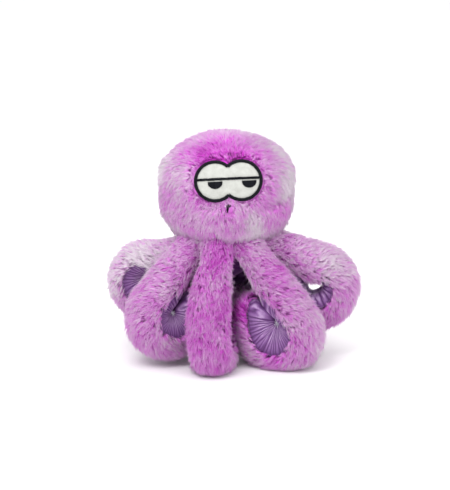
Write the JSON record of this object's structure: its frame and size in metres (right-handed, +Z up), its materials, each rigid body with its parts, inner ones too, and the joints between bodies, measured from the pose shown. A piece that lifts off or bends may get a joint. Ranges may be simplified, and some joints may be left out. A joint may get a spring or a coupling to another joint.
{
  "type": "plush octopus toy",
  "caption": "Soft plush octopus with a stuffed furry dome head, sewn felt eyes and arms whose gathered satin undersides hold them in a curl.",
  "frame": {"origin": "centre of the footprint of the bounding box, on the surface that the toy stands on", "axes": "+Z up, the face looks along -Y, +X is the viewer's right when facing the toy"},
  "size_m": [0.2415, 0.1964, 0.223],
  "materials": {
    "orchid_fur": "matte",
    "lavender_satin": "satin",
    "violet_fabric": "matte",
    "fibre_stuffing": "matte",
    "white_felt": "matte",
    "black_thread": "satin"
  },
  "bodies": {
    "head": {"head_front_fur": "orchid_fur", "head_back_fur": "orchid_fur", "base_panel": "violet_fabric", "head_stuffing": "fibre_stuffing", "eye_patch": "white_felt", "eye_border": "black_thread", "eyelid_line": "black_thread", "pupil_left": "black_thread", "pupil_right": "black_thread", "mouth_stitches": "black_thread"},
    "arm_left": {"arm_left_fur": "orchid_fur", "arm_left_lining": "lavender_satin", "arm_left_stuffing": "fibre_stuffing"},
    "tip_left": {"tip_left_fur": "orchid_fur", "tip_left_lining": "lavender_satin", "tip_left_stuffing": "fibre_stuffing"},
    "arm_front_left": {"arm_front_left_fur": "orchid_fur", "arm_front_left_lining": "lavender_satin", "arm_front_left_stuffing": "fibre_stuffing"},
    "tip_front_left": {"tip_front_left_fur": "orchid_fur", "tip_front_left_lining": "lavender_satin", "tip_front_left_stuffing": "fibre_stuffing"},
    "arm_front": {"arm_front_fur": "orchid_fur", "arm_front_lining": "lavender_satin", "arm_front_stuffing": "fibre_stuffing"},
    "tip_front": {"tip_front_fur": "orchid_fur", "tip_front_lining": "lavender_satin", "tip_front_stuffing": "fibre_stuffing"},
    "arm_front_right": {"arm_front_right_fur": "orchid_fur", "arm_front_right_lining": "lavender_satin", "arm_front_right_stuffing": "fibre_stuffing"},
    "tip_front_right": {"tip_front_right_fur": "orchid_fur", "tip_front_right_lining": "lavender_satin", "tip_front_right_stuffing": "fibre_stuffing"},
    "arm_right": {"arm_right_fur": "orchid_fur", "arm_right_lining": "lavender_satin", "arm_right_stuffing": "fibre_stuffing"},
    "tip_right": {"tip_right_fur": "orchid_fur", "tip_right_lining": "lavender_satin", "tip_right_stuffing": "fibre_stuffing"},
    "arm_back_right": {"arm_back_right_fur": "orchid_fur", "arm_back_right_lining": "lavender_satin", "arm_back_right_stuffing": "fibre_stuffing"},
    "tip_back_right": {"tip_back_right_fur": "orchid_fur", "tip_back_right_lining": "lavender_satin", "tip_back_right_stuffing": "fibre_stuffing"},
    "arm_back": {"arm_back_fur": "orchid_fur", "arm_back_lining": "lavender_satin", "arm_back_stuffing": "fibre_stuffing"},
    "tip_back": {"tip_back_fur": "orchid_fur", "tip_back_lining": "lavender_satin", "tip_back_stuffing": "fibre_stuffing"},
    "arm_back_left": {"arm_back_left_fur": "orchid_fur", "arm_back_left_lining": "lavender_satin", "arm_back_left_stuffing": "fibre_stuffing"},
    "tip_back_left": {"tip_back_left_fur": "orchid_fur", "tip_back_left_lining": "lavender_satin", "tip_back_left_stuffing": "fibre_stuffing"}
  },
  "joints": [
    {"name": "left_arm_swing", "type": "hinge", "parent": "head", "child": "arm_left", "pos_m": [-0.05357, 0.00265, 0.11], "axis": [0.1045, 0.9945, 0], "range_deg": [-15, 22], "stiffness_Nm_per_rad": 0.12},
    {"name": "left_arm_uncurl", "type": "hinge", "parent": "arm_left", "child": "tip_left", "pos_m": [-0.12014, 0.00965, 0.06549], "axis": [0.1045, 0.9945, 0], "range_deg": [0, 45], "stiffness_Nm_per_rad": 0.08},
    {"name": "front_left_arm_swing", "type": "hinge", "parent": "head", "child": "arm_front_left", "pos_m": [-0.04657, -0.0303, 0.11], "axis": [-0.342, 0.9397, 0], "range_deg": [0, 30], "stiffness_Nm_per_rad": 0.12},
    {"name": "front_left_arm_uncurl", "type": "hinge", "parent": "arm_front_left", "child": "tip_front_left", "pos_m": [-0.1019, -0.05044, 0.04297], "axis": [-0.342, 0.9397, 0], "range_deg": [0, 45], "stiffness_Nm_per_rad": 0.08},
    {"name": "front_arm_swing", "type": "hinge", "parent": "head", "child": "arm_front", "pos_m": [-0.01692, -0.05067, 0.11], "axis": [-1, 0, 0], "range_deg": [0, 40], "stiffness_Nm_per_rad": 0.12},
    {"name": "front_arm_uncurl", "type": "hinge", "parent": "arm_front", "child": "tip_front", "pos_m": [-0.01692, -0.09763, 0.02514], "axis": [-1, 0, 0], "range_deg": [0, 45], "stiffness_Nm_per_rad": 0.08},
    {"name": "front_right_arm_swing", "type": "hinge", "parent": "head", "child": "arm_front_right", "pos_m": [0.02048, -0.04272, 0.11], "axis": [-0.342, -0.9397, 0], "range_deg": [0, 30], "stiffness_Nm_per_rad": 0.12},
    {"name": "front_right_arm_uncurl", "type": "hinge", "parent": "arm_front_right", "child": "tip_front_right", "pos_m": [0.08239, -0.06526, 0.02927], "axis": [-0.342, -0.9397, 0], "range_deg": [0, 45], "stiffness_Nm_per_rad": 0.08},
    {"name": "right_arm_swing", "type": "hinge", "parent": "head", "child": "arm_right", "pos_m": [0.03939, -0.01124, 0.11], "axis": [-0.0698, -0.9976, 0], "range_deg": [-15, 15], "stiffness_Nm_per_rad": 0.12},
    {"name": "right_arm_uncurl", "type": "hinge", "parent": "arm_right", "child": "tip_right", "pos_m": [0.12009, -0.01688, 0.06514], "axis": [-0.0698, -0.9976, 0], "range_deg": [0, 45], "stiffness_Nm_per_rad": 0.08},
    {"name": "back_right_arm_swing", "type": "hinge", "parent": "head", "child": "arm_back_right", "pos_m": [0.03087, 0.02293, 0.11], "axis": [0.848, -0.5299, 0], "range_deg": [0, 40], "stiffness_Nm_per_rad": 0.12},
    {"name": "back_right_arm_uncurl", "type": "hinge", "parent": "arm_back_right", "child": "tip_back_right", "pos_m": [0.05944, 0.06865, 0.02762], "axis": [0.848, -0.5299, 0], "range_deg": [0, 45], "stiffness_Nm_per_rad": 0.08},
    {"name": "back_arm_swing", "type": "hinge", "parent": "head", "child": "arm_back", "pos_m": [0.0002, 0.04172, 0.11], "axis": [0.9994, -0.0349, 0], "range_deg": [0, 40], "stiffness_Nm_per_rad": 0.12},
    {"name": "back_arm_uncurl", "type": "hinge", "parent": "arm_back", "child": "tip_back", "pos_m": [0.00215, 0.0976, 0.02762], "axis": [0.9994, -0.0349, 0], "range_deg": [0, 45], "stiffness_Nm_per_rad": 0.08},
    {"name": "back_left_arm_swing", "type": "hinge", "parent": "head", "child": "arm_back_left", "pos_m": [-0.03478, 0.03332, 0.11], "axis": [0.848, 0.5299, 0], "range_deg": [0, 40], "stiffness_Nm_per_rad": 0.12},
    {"name": "back_left_arm_uncurl", "type": "hinge", "parent": "arm_back_left", "child": "tip_back_left", "pos_m": [-0.06599, 0.08327, 0.02844], "axis": [0.848, 0.5299, 0], "range_deg": [0, 45], "stiffness_Nm_per_rad": 0.08}
  ]
}
